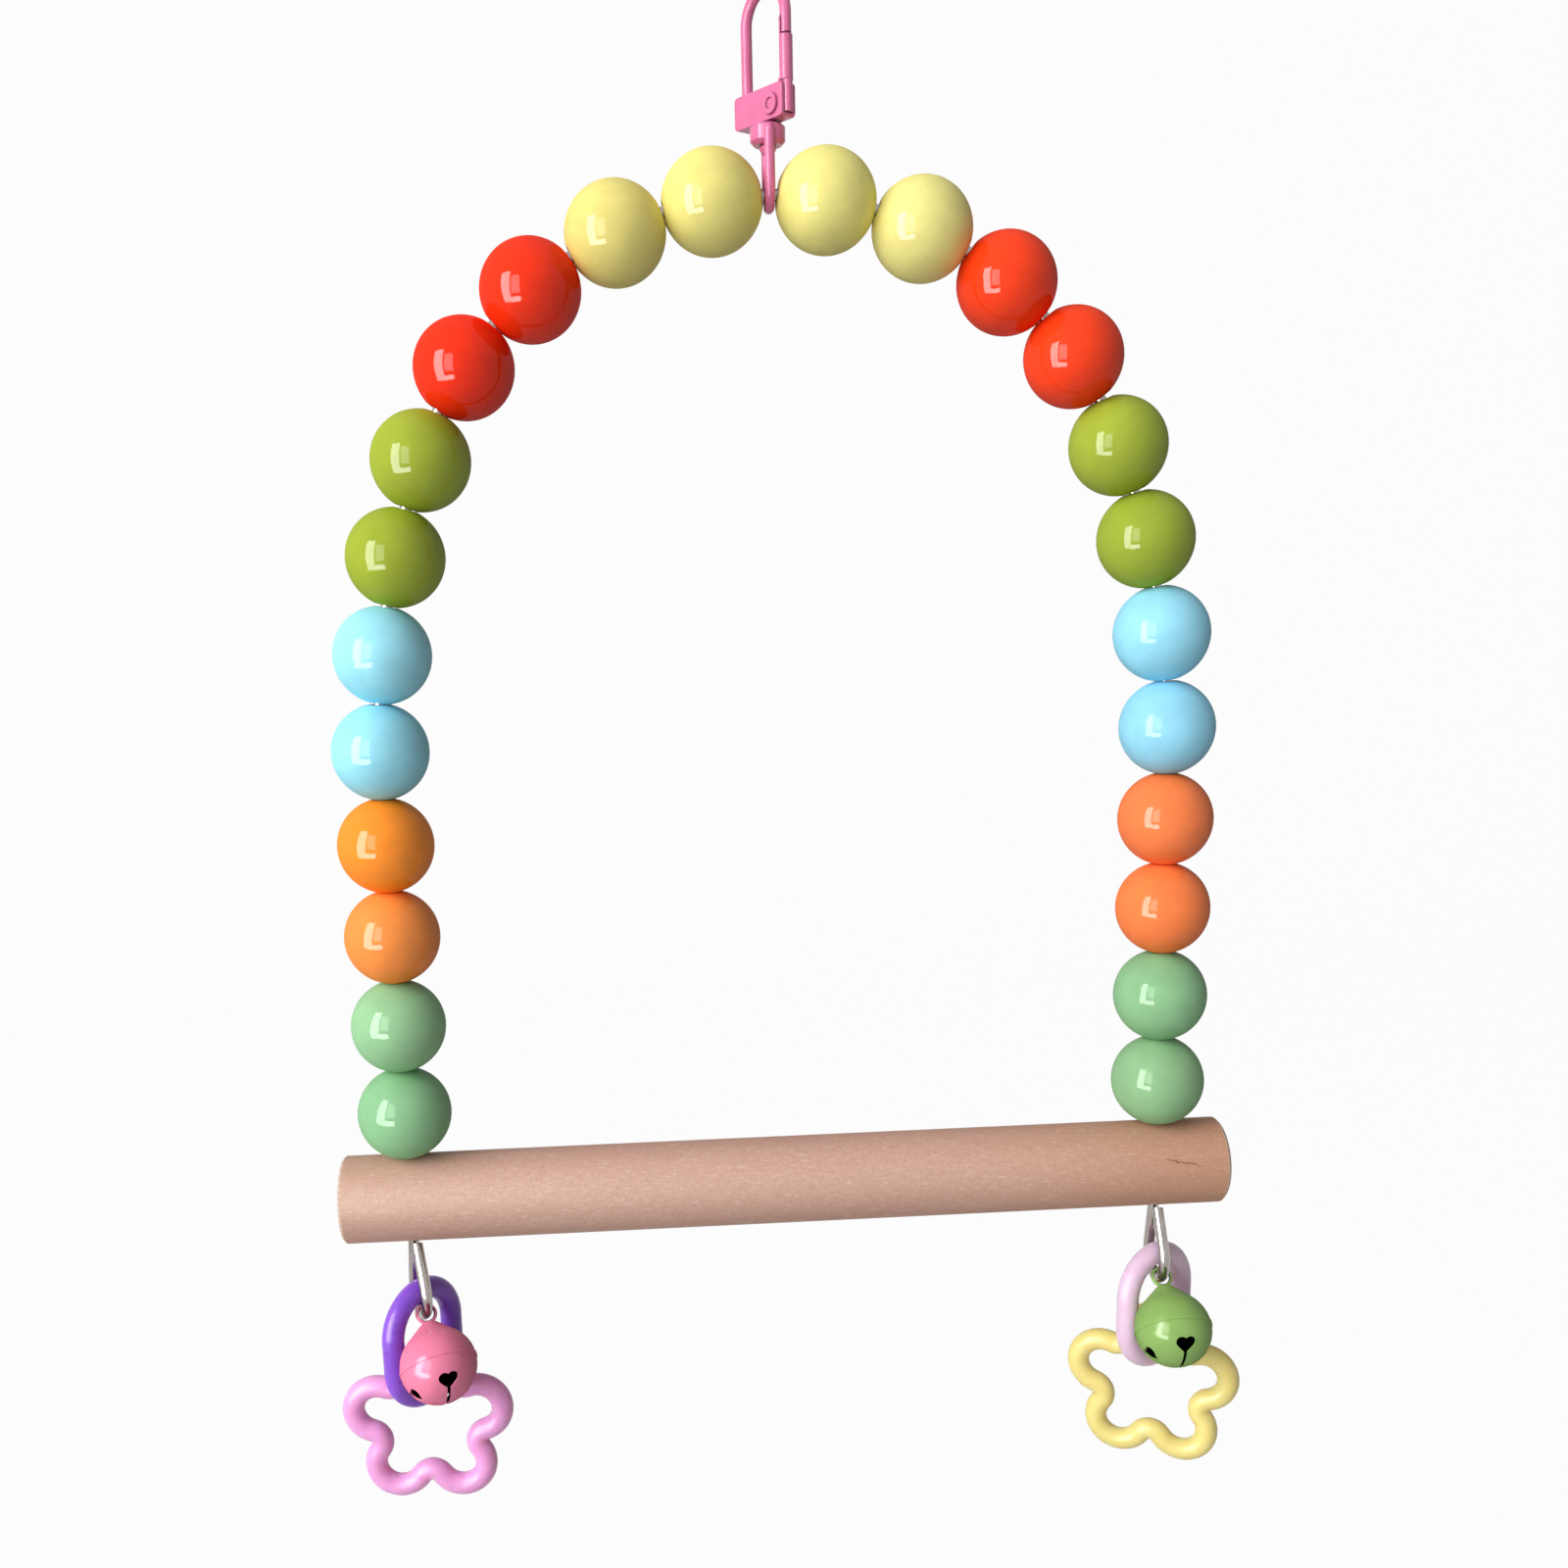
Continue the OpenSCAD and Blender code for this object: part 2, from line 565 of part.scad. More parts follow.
module bell_upper(side) {
    color(bell_colours[side == "left" ? 0 : 1]) at_ball(side) difference() {
        union() {
            intersection() {
                sphere(r = bell_r);
                translate([0, 0, bell_d / 2]) cube([2 * bell_d, 2 * bell_d, bell_d], center = true);
            }
            translate([0, 0, neck_foot])
                cylinder(r1 = neck_foot_r, d2 = bell_neck_top_d, h = neck_top - neck_foot);
            translate([0, 0, -bell_seam_height / 2])
                cylinder(r = bell_r + bell_seam_out, h = bell_seam_height);
        }
        sphere(r = bell_inner_r);
        translate([0, 0, -bell_seam_height]) cylinder(r = bell_r + set_gap, h = bell_seam_height);
        cylinder(d = loop_wire_d + 2 * set_gap, h = loop_to_ball);
    }
}

module heart() {
    lobe = heart_width / (1 + sqrt(2)) / 2 * sqrt(2);
    // two round lobes on a square that stands on its corner
    rotate([0, 0, 45]) {
        translate([-lobe, -lobe]) square(2 * lobe);
        translate([lobe, 0]) circle(r = lobe);
        translate([0, lobe]) circle(r = lobe);
    }
}

module bell_lower(side) {
    color(bell_colours[side == "left" ? 0 : 1]) at_ball(side) difference() {
        rotate_extrude() intersection() {
            difference() {
                circle(r = bell_r);
                circle(r = bell_inner_r);
            }
            translate([0, -bell_d]) square(bell_d);
        }
        for (k = [0 : heart_count - 1]) rotate([0, 0, 90 * k - 90]) {
            rotate([0, 180 - heart_angle, 0]) rotate([0, 0, 90])
                translate([0, 0, bell_inner_r - overrun]) linear_extrude(bell_wall + 2 * overrun) heart();
            intersection() {
                translate([0, -slit_width / 2, -bell_d]) cube([bell_d, slit_width, bell_d]);
                cylinder(r = bell_r * sin(heart_angle), h = 2 * bell_d, center = true);
            }
        }
    }
}

module bell_pellet(side) {
    color(bare_steel) at_pendant(side)
        translate([0, -eye_out - (bell_out + loop_to_ball) * cos(bell_angle),
            eye_up - (bell_out + loop_to_ball) * sin(bell_angle) - bell_inner_r + pellet_gap + pellet_d / 2])
            sphere(d = pellet_d);
}

hook_body();
gate();
gate_pin();
gate_spring();
swivel_stem();
swivel_ring();
frame_wire();
perch();
for (side = sides) {
    for (i = [1 : bead_count]) bead(side, i);
    link(side);
    star(side);
    bell_loop(side);
    bell_upper(side);
    bell_lower(side);
    bell_pellet(side);
}
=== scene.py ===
"""Bird swing: a beaded wire arch on a snap hook, with a wooden perch, link rings, star rings and bells."""
import bpy
import json
import math
import numpy as np
from mathutils import Matrix, Vector


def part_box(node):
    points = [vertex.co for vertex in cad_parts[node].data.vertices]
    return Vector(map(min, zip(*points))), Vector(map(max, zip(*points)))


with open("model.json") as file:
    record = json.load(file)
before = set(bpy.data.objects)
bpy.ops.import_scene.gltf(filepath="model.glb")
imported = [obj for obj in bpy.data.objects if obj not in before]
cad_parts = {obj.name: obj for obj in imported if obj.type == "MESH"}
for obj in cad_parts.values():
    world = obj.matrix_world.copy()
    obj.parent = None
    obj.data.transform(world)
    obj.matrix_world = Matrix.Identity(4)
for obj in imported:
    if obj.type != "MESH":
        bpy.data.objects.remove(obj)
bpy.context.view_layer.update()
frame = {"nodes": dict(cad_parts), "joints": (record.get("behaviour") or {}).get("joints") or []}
joints = {joint["name"]: joint for joint in frame["joints"]}

# Colours of the pieces, where a pair is the base and the shade that mottles it

BEAD_COLOURS = {
    "left": ["#ebdf83", "#e7d97e", "#f33310", "#f2300f", "#a0af36", "#9ead34",
             "#9fe6f8", "#9be3f6", "#ff932d", "#ff9546", "#95c694", "#8dc18f"],
    "right": ["#f1e78a", "#eee48c", "#f63f15", "#f74016", "#a0b039", "#9aac37",
              "#99def6", "#95d8f2", "#fb8248", "#fb8346", "#8bbd8b", "#8ebb89"],
}
HOOK_PINK = ("#d9749f", "#d16c96")
HOOK_SPECK = "#e496b8"
PLASTIC_COLOURS = {
    "link_left": ("#8c57d4", "#834eca"),
    "link_right": ("#e2c6de", "#ddbfd8"),
    "star_left": ("#eea9dd", "#e9a2d7"),
    "star_right": ("#e9d98c", "#e4d384"),
}
BELL_COLOURS = {"left": ("#ec83a3", "#e57a9c"), "right": ("#8bb061", "#83a959")}
# Near black shade painted on the inside of the bells
BELL_PAINTED_SHADE = "#14100f"
LOOP_STEEL = "#a39c95"

# Lengths in metres, and shares

BELL_PAINTED_SHADE_RADIUS = 0.00785
LOOP_STEEL_RADIUS = 0.00188
LOOP_FROM_EYE = 0.00545

GRAIN_DEPTH = 0.0003
PAINT_ROUNDING = 0.00022
# Reach of the shade painted into the hook's corners
PAINT_CREVICE_SHADE = 0.0007
PLASTIC_SCATTER = 0.004
INNER_EDGE = 0.00006
CLEAR_RIM_SHARE = 0.3

END_GRAIN_DEPTH = 0.0008
TAN_FROM, TAN_TO = 0.035, 0.10
CRACK_FROM_END = 0.0107
CRACK_ABOVE_AXIS = 0.00248
CRACK_HALF_LENGTH = 0.0044
CRACK_HALF_WIDTH = 0.00019
CRACK_SLOPE = 0.20
CRACK_WAVE = 0.0009


# Colour and node helpers

def srgb(hex_colour):
    """Linear colour of a web colour. Each channel c becomes c / 12.92 when small, and otherwise
    ((c + 0.055) / 1.055) ^ 2.4."""
    channels = [int(hex_colour[i:i + 2], 16) / 255.0 for i in (1, 3, 5)]
    return tuple(c / 12.92 if c <= 0.04045 else ((c + 0.055) / 1.055) ** 2.4 for c in channels) + (1.0,)


def darker(hex_colour, share):
    """The same colour with each channel taken down by a share."""
    return "#" + "".join("%02x" % int(int(hex_colour[i:i + 2], 16) * (1.0 - share)) for i in (1, 3, 5))


class Tree:
    """Adds nodes and links to one node tree."""

    def __init__(self, tree):
        self.nodes = tree.nodes
        self.links = tree.links

    def feed(self, made, name, value):
        """Sets or links an input, named by its label or by "#" and its number."""
        socket = made.inputs[int(name[1:])] if name[:1] == "#" else made.inputs[name]
        if isinstance(value, bpy.types.NodeSocket):
            self.links.new(value, socket)
        else:
            socket.default_value = value

    def node(self, kind, settings=(), **inputs):
        made = self.nodes.new(kind)
        for name, value in dict(settings).items():
            setattr(made, name, value)
        for name, value in inputs.items():
            self.feed(made, name, value)
        return made

    def place(self):
        """The point in the object's own coordinates, which are the frame's, in metres."""
        return self.node("ShaderNodeTexCoord").outputs["Object"]

    def maths(self, how, a, b=0.0):
        made = self.nodes.new("ShaderNodeMath")
        made.operation = how
        self.feed(made, "#0", a)
        self.feed(made, "#1", b)
        return made.outputs[0]

    def span(self, value, low, high, out_low=0.0, out_high=1.0, smooth=True):
        """Carries a value from the range low to high over to the range out_low to out_high."""
        made = self.nodes.new("ShaderNodeMapRange")
        made.interpolation_type = "SMOOTHSTEP" if smooth else "LINEAR"
        for i, part in enumerate((value, low, high, out_low, out_high)):
            self.feed(made, "#%d" % i, part)
        return made.outputs[0]

    def distance(self, where, point):
        made = self.nodes.new("ShaderNodeVectorMath")
        made.operation = "DISTANCE"
        self.links.new(where, made.inputs[0])
        made.inputs[1].default_value = point
        return made.outputs["Value"]

    def blend(self, factor, first, second, how="MIX"):
        made = self.nodes.new("ShaderNodeMix")
        made.data_type = "RGBA"
        made.blend_type = how
        self.feed(made, "#0", factor)
        self.feed(made, "#6", first)
        self.feed(made, "#7", second)
        return made.outputs[2]

    def noise(self, where, scale, detail=3.0, rough=0.55, stretch=None):
        if stretch is not None:
            made = self.nodes.new("ShaderNodeMapping")
            self.links.new(where, made.inputs[0])
            made.inputs["Scale"].default_value = stretch
            where = made.outputs[0]
        made = self.nodes.new("ShaderNodeTexNoise")
        self.links.new(where, made.inputs["Vector"])
        made.inputs["Scale"].default_value = scale
        made.inputs["Detail"].default_value = detail
        made.inputs["Roughness"].default_value = rough
        return made.outputs["Fac"]


def new_material(name):
    """A new material, the helper of its node tree, and its Principled shader."""
    made = bpy.data.materials.new(name)
    made.use_nodes = True
    return made, Tree(made.node_tree), made.node_tree.nodes["Principled BSDF"]


# The film that lacquer, paint, plastic and enamel share

def fill_film(t, source, end):
    """Soft mottling between two colours, fine grain in the height, and a few specks that sit deeper."""
    where = t.place()
    mottle = t.noise(where, 160.0, detail=4.0)
    fine = t.noise(where, 900.0, detail=5.0)
    specks = t.span(t.noise(where, 620.0, detail=1.0), 0.735, 0.765)
    colour = t.blend(t.span(mottle, 0.3, 0.7), source["Colour"], source["Shade"])
    colour = t.blend(t.maths("MULTIPLY", specks, source["Specks"]), colour, source["Speck colour"])
    height = t.maths("ADD", mottle, t.maths("MULTIPLY", fine, 0.12))
    height = t.maths("SUBTRACT", height, t.maths("MULTIPLY", specks, 0.35))
    worn = t.noise(where, 420.0)
    t.links.new(colour, end["Colour"])
    t.links.new(height, end["Height"])
    t.links.new(t.span(worn, 0.35, 0.75, source["Gloss low"], source["Gloss high"]), end["Roughness"])


def film_group():
    """The film as a node group with named inputs and outputs."""
    group = bpy.data.node_groups.new("coloured film", "ShaderNodeTree")
    for label, kind in (("Colour", "Color"), ("Shade", "Color"), ("Speck colour", "Color"),
                        ("Specks", "Float"), ("Gloss low", "Float"), ("Gloss high", "Float")):
        group.interface.new_socket(label, in_out="INPUT", socket_type="NodeSocket" + kind)
    for label, kind in (("Colour", "Color"), ("Height", "Float"), ("Roughness", "Float")):
        group.interface.new_socket(label, in_out="OUTPUT", socket_type="NodeSocket" + kind)
    source = group.nodes.new("NodeGroupInput")
    end = group.nodes.new("NodeGroupOutput")
    fill_film(Tree(group), source.outputs, end.inputs)
    return group


film = film_group()


def coated(name, colours, speck, specks, gloss, bump, specular=0.2, scatter=0.0, rounding=0.0, crevice_shade=0.0,
           inner=None, clear=None):
    """A finish of one pair of colours under the film, with its constants on the shader's own sockets.

    gloss is the lowest and highest roughness, and scatter the share of light that spreads inside. rounding
    softens sharp edges by that radius, and crevice paints shade into corners that are closer than that.
    inner is (centre, radius, colour, metal): nearer to the centre than the radius, the surface is that
    colour, and bare metal when metal is 1; it paints shade in near black inside the bells, and gives bare
    worn steel on the loops.
    clear is (weight, roughness) of a clear coat that fades towards the outline.
    """
    made, t, shader = new_material(name)
    coat = t.node("ShaderNodeGroup", {"node_tree": film})
    for label, value in (("Colour", srgb(colours[0])), ("Shade", srgb(colours[1])), ("Specks", specks),
                         ("Speck colour", srgb(speck)), ("Gloss low", gloss[0]), ("Gloss high", gloss[1])):
        coat.inputs[label].default_value = value
    painted, roughness = coat.outputs["Colour"], coat.outputs["Roughness"]
    inside = None
    if inner is not None:
        centre, radius, shade_and_bare_metal_colour, metal = inner
        where = t.place()
        far = t.distance(where, centre)
        inside = t.span(far, radius - INNER_EDGE, radius + INNER_EDGE, 1.0, 0.0)
        # The inner colour, mottled: painted shade inside the bells, worn bare steel on the loops
        worn = t.blend(t.noise(where, 900.0), srgb(shade_and_bare_metal_colour), srgb(darker(shade_and_bare_metal_colour, 0.3)))
        painted = t.blend(inside, painted, worn)
        roughness = t.span(inside, 0.0, 1.0, 0.22, 0.22 + 0.4 * (1.0 - metal), smooth=False)
        if metal:
            t.links.new(inside, shader.inputs["Metallic"])
    # Painted shade: the colour darkens in corners where the occlusion finds other surfaces close by
    if crevice_shade:
        shut = t.node("ShaderNodeAmbientOcclusion", {"samples": 8}, Distance=crevice_shade)
        shadow = srgb(darker(colours[1], 0.6))
        painted = t.blend(t.span(shut.outputs["AO"], 0.45, 0.95, 0.55, 0.0), painted, shadow)
    t.links.new(painted, shader.inputs["Base Color"])
    t.links.new(roughness, shader.inputs["Roughness"])
    relief = t.node("ShaderNodeBump", Strength=bump, Distance=GRAIN_DEPTH)
    t.links.new(coat.outputs["Height"], relief.inputs["Height"])
    if rounding:
        edge = t.node("ShaderNodeBevel", {"samples": 6}, Radius=rounding)
        t.links.new(edge.outputs[0], relief.inputs["Normal"])
    t.links.new(relief.outputs[0], shader.inputs["Normal"])
    shader.inputs["Specular IOR Level"].default_value = specular
    if clear is not None:
        facing = t.node("ShaderNodeLayerWeight", Blend=0.5).outputs["Facing"]
        weight = t.span(facing, 0.25, 0.85, clear[0], CLEAR_RIM_SHARE * clear[0])
        if inside is not None:
            weight = t.maths("MULTIPLY", weight, t.maths("SUBTRACT", 1.0, inside))
        t.links.new(weight, shader.inputs["Coat Weight"])
        shader.inputs["Coat Roughness"].default_value = clear[1]
    if scatter:
        shader.inputs["Subsurface Weight"].default_value = scatter
        shader.inputs["Subsurface Radius"].default_value = (1.0, 0.6, 0.4)
        shader.inputs["Subsurface Scale"].default_value = PLASTIC_SCATTER
    return made


# Finishes of the pieces

def bead_lacquer(name, colour):
    """Glossy lacquer on turned wood."""
    return coated(name, (colour, darker(colour, 0.04)), darker(colour, 0.2), 0.12, (0.35, 0.5), 0.10,
                  specular=0.0, clear=(0.3, 0.045))


def hook_paint():
    """Pink paint, softened at the edges, with shade painted in where two pieces meet."""
    return coated("pink hook paint", HOOK_PINK, HOOK_SPECK, 0.3, (0.14, 0.22), 0.12,
                  rounding=PAINT_ROUNDING, crevice_shade=PAINT_CREVICE_SHADE)


def moulded_plastic(name, colours):
    """Satin plastic that lets a little light through."""
    return coated(name, colours, darker(colours[0], 0.2), 0.15, (0.26, 0.36), 0.08,
                  specular=0.25, scatter=0.8)


def bell_enamel(name, colours, inner):
    """Glossy enamel on thin sheet."""
    return coated(name, colours, darker(colours[0], 0.3), 0.3, (0.14, 0.22), 0.15,
                  specular=0.0, inner=inner, clear=(0.4, 0.17))


def loop_enamel(name, colours, inner):
    """Thinner enamel on wire."""
    return coated(name, colours, darker(colours[0], 0.3), 0.3, (0.16, 0.26), 0.15, inner=inner)


def steel_wire():
    """Bright drawn wire: fine long scratches and a little grey tarnish in patches."""
    made, t, shader = new_material("bright steel wire")
    where = t.place()
    patches = t.span(t.noise(where, 140.0, detail=4.0), 0.5, 0.85)
    scratches = t.noise(where, 260.0, rough=0.6, stretch=(6.0, 6.0, 0.5))
    colour = t.blend(patches, srgb("#a39c97"), srgb("#79726d"))
    colour = t.blend(t.span(scratches, 0.5, 0.8, 0.0, 0.5), colour, srgb("#c9c4bf"))
    t.links.new(colour, shader.inputs["Base Color"])
    t.links.new(t.span(scratches, 0.3, 0.8, 0.13, 0.24), shader.inputs["Roughness"])
    shader.inputs["Metallic"].default_value = 1.0
    relief = t.node("ShaderNodeBump", Strength=0.12, Distance=0.0001)
    t.links.new(scratches, relief.inputs["Height"])
    t.links.new(relief.outputs[0], shader.inputs["Normal"])
    return made


def crack_mask(t, where, apart, half_length, axis_z):
    """1 in the fine crack beside the right-hand hole, in the front of the dowel.

    It is a thin sloping ellipse with a wavy middle line: (along / half length)^2 + (up / half width)^2 is
    below 1 in it.
    """
    out = t.maths("SUBTRACT", apart.outputs[0], half_length - CRACK_FROM_END)
    along = t.maths("DIVIDE", out, CRACK_HALF_LENGTH)
    wave = t.maths("MULTIPLY", t.noise(where, 700.0, detail=2.0), CRACK_WAVE)
    up = t.maths("SUBTRACT", apart.outputs[2], axis_z + CRACK_ABOVE_AXIS)
    up = t.maths("ADD", up, t.maths("MULTIPLY", out, CRACK_SLOPE))
    across = t.maths("DIVIDE", t.maths("SUBTRACT", up, wave), CRACK_HALF_WIDTH)
    square = t.maths("ADD", t.maths("MULTIPLY", along, along), t.maths("MULTIPLY", across, across))
    front = t.maths("LESS_THAN", apart.outputs[1], 0.0)
    return t.maths("MULTIPLY", t.span(t.maths("SQRT", square), 0.6, 1.2, 1.0, 0.0), front)


def beech_wood(low, high):
    """Sanded beech dowel along x in the box from low to high: long soft streaks, short ray flecks and fine
    grit, rings in the end grain and one small reddish crack."""
    made, t, shader = new_material("sanded beech")
    half_length = (high.x - low.x) / 2.0
    where = t.place()
    apart = t.node("ShaderNodeSeparateXYZ", Vector=where)
    streaks = t.noise(where, 90.0, detail=5.0, rough=0.6, stretch=(0.09, 1.0, 1.0))
    bands = t.noise(where, 26.0, rough=0.5, stretch=(0.16, 1.0, 1.0))
    flecks = t.noise(where, 2400.0, detail=2.0, rough=0.5, stretch=(0.22, 1.0, 1.0))
    grit = t.noise(where, 1500.0, detail=4.0, rough=0.75)
    colour = t.blend(t.span(bands, 0.3, 0.7), srgb("#c7a28f"), srgb("#c19588"))
    colour = t.blend(t.span(streaks, 0.35, 0.75, 0.0, 0.5), colour, srgb("#bb8e7b"))
    colour = t.blend(t.span(flecks, 0.56, 0.72, 0.0, 0.25), colour, srgb("#a67c68"))
    colour = t.blend(t.span(flecks, 0.44, 0.28, 0.0, 0.4), colour, srgb("#dec5ba"))
    colour = t.blend(t.span(grit, 0.4, 0.72, 0.0, 0.5), colour, srgb("#b08571"))
    # The dowel turns tan towards its right-hand end
    tan = t.blend(1.0, colour, srgb("#f4e8d5"), "MULTIPLY")
    colour = t.blend(t.span(apart.outputs[0], TAN_FROM, TAN_TO), colour, tan)
    # Rings of end grain, only on the two end faces
    ends = t.maths("GREATER_THAN", t.maths("ABSOLUTE", apart.outputs[0]), half_length - END_GRAIN_DEPTH)
    rings = t.node("ShaderNodeTexWave", {"wave_type": "RINGS", "rings_direction": "X"},
                   Vector=where, Scale=260.0, Distortion=1.5)
    end_colour = t.blend(t.span(rings.outputs["Fac"], 0.2, 0.9, 0.0, 0.5), srgb("#c2a594"), srgb("#ab8a78"))
    colour = t.blend(ends, colour, end_colour)
    crack = crack_mask(t, where, apart, half_length, (low.z + high.z) / 2.0)
    colour = t.blend(t.maths("MULTIPLY", crack, 0.8), colour, srgb("#7c3a2c"))
    t.links.new(colour, shader.inputs["Base Color"])
    t.links.new(t.span(streaks, 0.3, 0.8, 0.55, 0.70), shader.inputs["Roughness"])
    height = t.maths("ADD", t.maths("MULTIPLY", streaks, 0.8), t.maths("MULTIPLY", flecks, -0.5))
    height = t.maths("SUBTRACT", height, t.maths("MULTIPLY", crack, 0.8))
    relief = t.node("ShaderNodeBump", Strength=0.25, Distance=0.0002)
    t.links.new(height, relief.inputs["Height"])
    t.links.new(relief.outputs[0], shader.inputs["Normal"])
    shader.inputs["Specular IOR Level"].default_value = 0.3
    return made


# Each piece gets its finish

def dress(node, finish):
    """Gives every material slot of a CAD node one finish."""
    piece = frame["nodes"][node]
    if not piece.material_slots:
        piece.data.materials.append(finish)
    for slot in piece.material_slots:
        slot.material = finish


def dress_bell(side, colours):
    """Enamels a bell. Shade is painted near black inside its ball, and its loop is worn bare where it hangs
    on the wire.
    """
    ball = Vector(joints["pellet_%s_roll" % side]["pos_m"])
    eye = Vector(joints["bell_%s_swing" % side]["pos_m"])
    loop = eye + (ball - eye).normalized() * LOOP_FROM_EYE
    # Shade is painted in near black on the inside of the shell, round the ball
    shell = bell_enamel("bell enamel " + side, colours, (tuple(ball), BELL_PAINTED_SHADE_RADIUS, BELL_PAINTED_SHADE, 0.0))
    wire = loop_enamel("loop enamel " + side, colours, (tuple(loop), LOOP_STEEL_RADIUS, LOOP_STEEL, 1.0))
    dress("bell_upper_" + side, shell)
    dress("bell_lower_" + side, shell)
    dress("bell_loop_" + side, wire)


for side, colours in BEAD_COLOURS.items():
    for number, colour in enumerate(colours, 1):
        dress("bead_%s_%d" % (side, number), bead_lacquer("bead lacquer %s %d" % (side, number), colour))
dress("perch", beech_wood(*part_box("perch")))
paint = hook_paint()
for node in ("hook_body", "gate", "gate_pin", "swivel_stem", "swivel_ring"):
    dress(node, paint)
steel = steel_wire()
for node in ("gate_spring", "frame_wire", "bell_pellet_left", "bell_pellet_right"):
    dress(node, steel)
for node, colours in PLASTIC_COLOURS.items():
    dress(node, moulded_plastic(node.replace("_", " ") + " plastic", colours))
for side, colours in BELL_COLOURS.items():
    dress_bell(side, colours)


# Pale sheet under and behind the swing

FLOOR_LEVEL = -0.47
SHEET_FRONT, SHEET_BACK = -2.4, 1.1
SHEET_HALF_WIDTH = 2.6
SHEET_BEND = 0.6
SHEET_RISE = 2.2
SHEET_ROWS = 40
FLAT_SHARE, BEND_SHARE, RISE_SHARE = 0.3, 0.4, 0.3


def seen_ray(t):
    """1 for the rays that show a background: camera, glossy and transmission rays."""
    path = t.node("ShaderNodeLightPath")
    both = t.maths("MAXIMUM", path.outputs["Is Camera Ray"], path.outputs["Is Glossy Ray"])
    return t.maths("MAXIMUM", both, path.outputs["Is Transmission Ray"])


def pale_finish():
    """White to the rays that show it, apart from a small share that keeps the swing's shadow, and grey to
    the rest, so that little light comes back from it."""
    made, t, _ = new_material("pale sheet")
    t.nodes.clear()
    matte = t.node("ShaderNodeBsdfDiffuse", Color=(0.42, 0.42, 0.42, 1.0))
    glow = t.node("ShaderNodeEmission", Color=(1.0, 1.0, 1.0, 1.0), Strength=1.0)
    mixed = t.node("ShaderNodeMixShader")
    t.links.new(t.maths("MULTIPLY", seen_ray(t), 0.97), mixed.inputs[0])
    t.links.new(matte.outputs[0], mixed.inputs[1])
    t.links.new(glow.outputs[0], mixed.inputs[2])
    t.links.new(mixed.outputs[0], t.node("ShaderNodeOutputMaterial").inputs["Surface"])
    return made


def pale_sheet():
    """A flat floor, then a quarter turn of radius r up to a flat wall, each a share of the rows.

    Along the turn by an angle a, y grows by r sin a and z by r (1 - cos a).
    """
    steps = np.linspace(0.0, 1.0, SHEET_ROWS)
    flat = np.clip(steps / FLAT_SHARE, 0.0, 1.0)
    angle = np.clip((steps - FLAT_SHARE) / BEND_SHARE, 0.0, 1.0) * math.pi / 2
    rise = np.clip((steps - FLAT_SHARE - BEND_SHARE) / RISE_SHARE, 0.0, 1.0)
    y = SHEET_FRONT + flat * (SHEET_BACK - SHEET_FRONT) + SHEET_BEND * np.sin(angle)
    z = FLOOR_LEVEL + SHEET_BEND * (1.0 - np.cos(angle)) + rise * SHEET_RISE
    x = np.repeat((-SHEET_HALF_WIDTH, SHEET_HALF_WIDTH), SHEET_ROWS)
    points = np.stack([x, np.tile(y, 2), np.tile(z, 2)], 1)
    corner = np.arange(SHEET_ROWS - 1)
    faces = np.stack([corner, corner + SHEET_ROWS, corner + SHEET_ROWS + 1, corner + 1], 1)
    mesh = bpy.data.meshes.new("pale_sheet")
    mesh.from_pydata(points.tolist(), [], faces.tolist())
    mesh.polygons.foreach_set("use_smooth", np.ones(len(faces), dtype=bool))
    mesh.materials.append(pale_finish())
    sheet = bpy.data.objects.new("pale_sheet", mesh)
    bpy.context.scene.collection.objects.link(sheet)


pale_sheet()


# Lamps and world

UP = Vector((0.0, 0.0, 1.0))
SWING_MIDDLE = (0.0, 0.0, -0.15)
WINDOW = Vector((-0.395, -0.395, -0.07))
WINDOW_OUTWARD = Vector((-0.52, -0.854, 0.0))
# name, place to the left along the window, place up, width, height, power in watts
WINDOW_PANES = (
    ("window_tall", 0.132, 0.02, 0.225, 0.60, 11.0),
    ("window_high", -0.104, 0.06, 0.18, 0.33, 2.0),
    ("window_low", -0.07, -0.23, 0.24, 0.11, 2.4),
)
# name, place, size, power in watts
FILLS = (
    ("sky_light", (-1.7, -1.05, 0.85), 1.5, 49.5),
    ("front_fill", (-0.7, -1.75, 0.15), 1.2, 16.0),
    ("top_fill", (0.0, 0.1, 1.2), 1.4, 2.8),
)


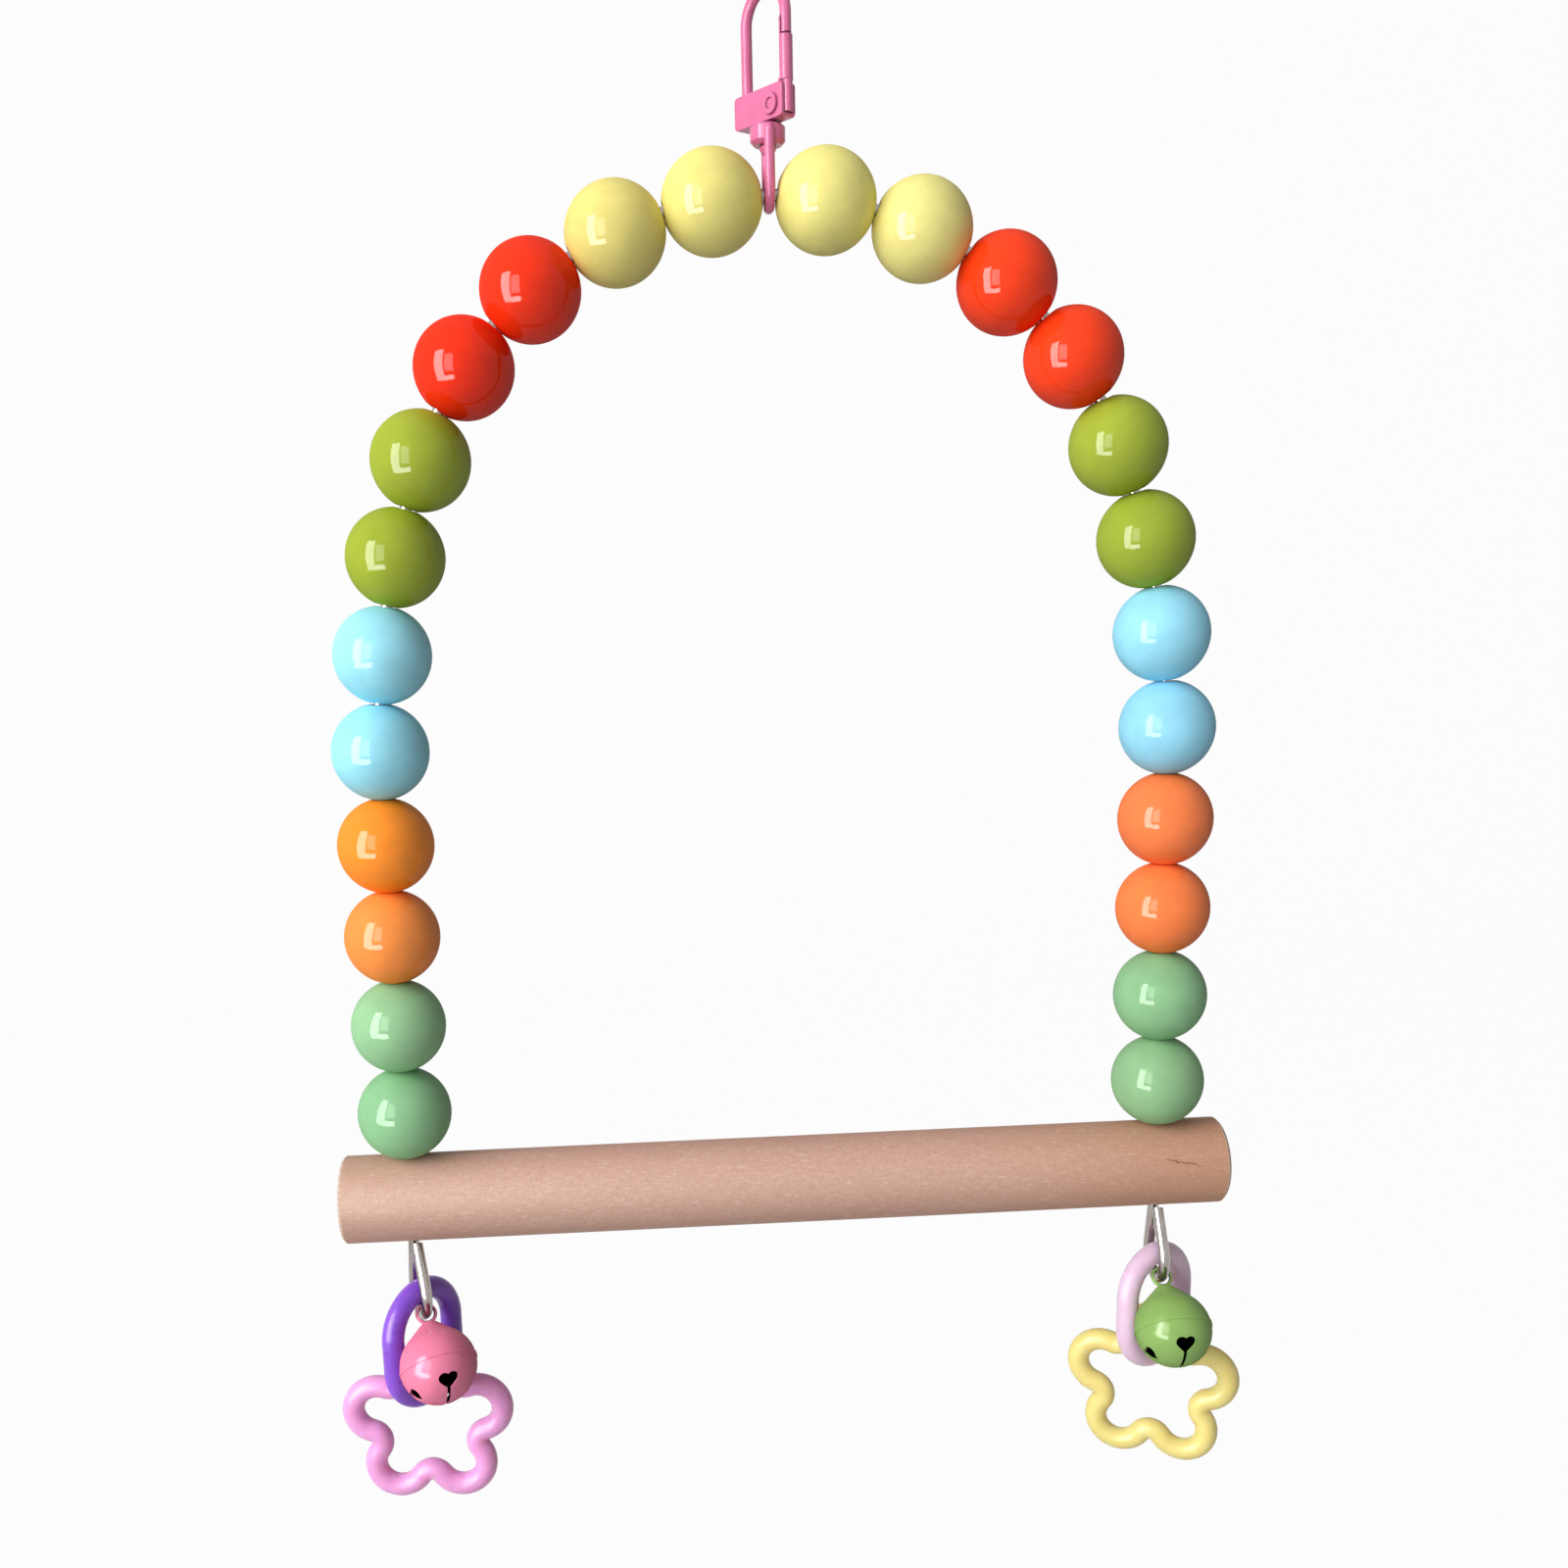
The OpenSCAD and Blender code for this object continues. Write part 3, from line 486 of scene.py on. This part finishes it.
def soft_light(name, place, target, width, height, power):
    lamp = bpy.data.lights.new(name, "AREA")
    lamp.shape = "RECTANGLE"
    lamp.size = width
    lamp.size_y = height
    lamp.energy = power
    holder = bpy.data.objects.new(name, lamp)
    holder.location = place
    holder.rotation_euler = (Vector(target) - Vector(place)).to_track_quat("-Z", "Y").to_euler()
    bpy.context.scene.collection.objects.link(holder)
    return holder


# The window shows only in the glossy highlights, and the fills give only the shading
window_left = WINDOW_OUTWARD.cross(UP).normalized()
for name, left, up, width, height, power in WINDOW_PANES:
    place = WINDOW + window_left * left + UP * up
    soft_light(name, place, place - WINDOW_OUTWARD, width, height, power).visible_diffuse = False
for name, place, size, power in FILLS:
    soft_light(name, place, SWING_MIDDLE, size, size, power).visible_glossy = False


def room():
    """A dim world for the shading, and a white one for the rays that show a background."""
    world = bpy.data.worlds.new("room")
    world.use_nodes = True
    t = Tree(world.node_tree)
    t.nodes.clear()
    dim = t.node("ShaderNodeBackground", Color=(1.0, 0.99, 0.97, 1.0), Strength=0.14)
    white = t.node("ShaderNodeBackground", Color=(1.0, 1.0, 1.0, 1.0), Strength=1.0)
    joined = t.node("ShaderNodeMixShader")
    t.links.new(seen_ray(t), joined.inputs[0])
    t.links.new(dim.outputs[0], joined.inputs[1])
    t.links.new(white.outputs[0], joined.inputs[2])
    t.links.new(joined.outputs[0], t.node("ShaderNodeOutputWorld").inputs["Surface"])
    return world


bpy.context.scene.world = room()


# Camera, placed by fitting the outlines of the 24 beads

CAMERA_PLACE = (-0.03062, -0.32331, -0.11527)
CAMERA_RIGHT = Vector((0.9978248, -0.0603994, -0.0264128))
CAMERA_DOWN = Vector((-0.0378225, -0.1963770, -0.9797987))
CAMERA_AHEAD = Vector((0.0539924, 0.9786664, -0.1982343))

lens = bpy.data.cameras.new("photo_view")
lens.sensor_fit = "HORIZONTAL"
lens.sensor_width = 36.0
lens.lens = 35.403
lens.shift_x = 0.03878
lens.shift_y = 0.08784
lens.clip_start = 0.01
lens.clip_end = 20.0
camera = bpy.data.objects.new("photo_view", lens)
bpy.context.scene.collection.objects.link(camera)
turn = Matrix((CAMERA_RIGHT, -CAMERA_DOWN, -CAMERA_AHEAD)).transposed().to_4x4()
camera.matrix_world = Matrix.Translation(CAMERA_PLACE) @ turn
bpy.context.scene.camera = camera

bpy.context.scene.view_settings.view_transform = "Standard"
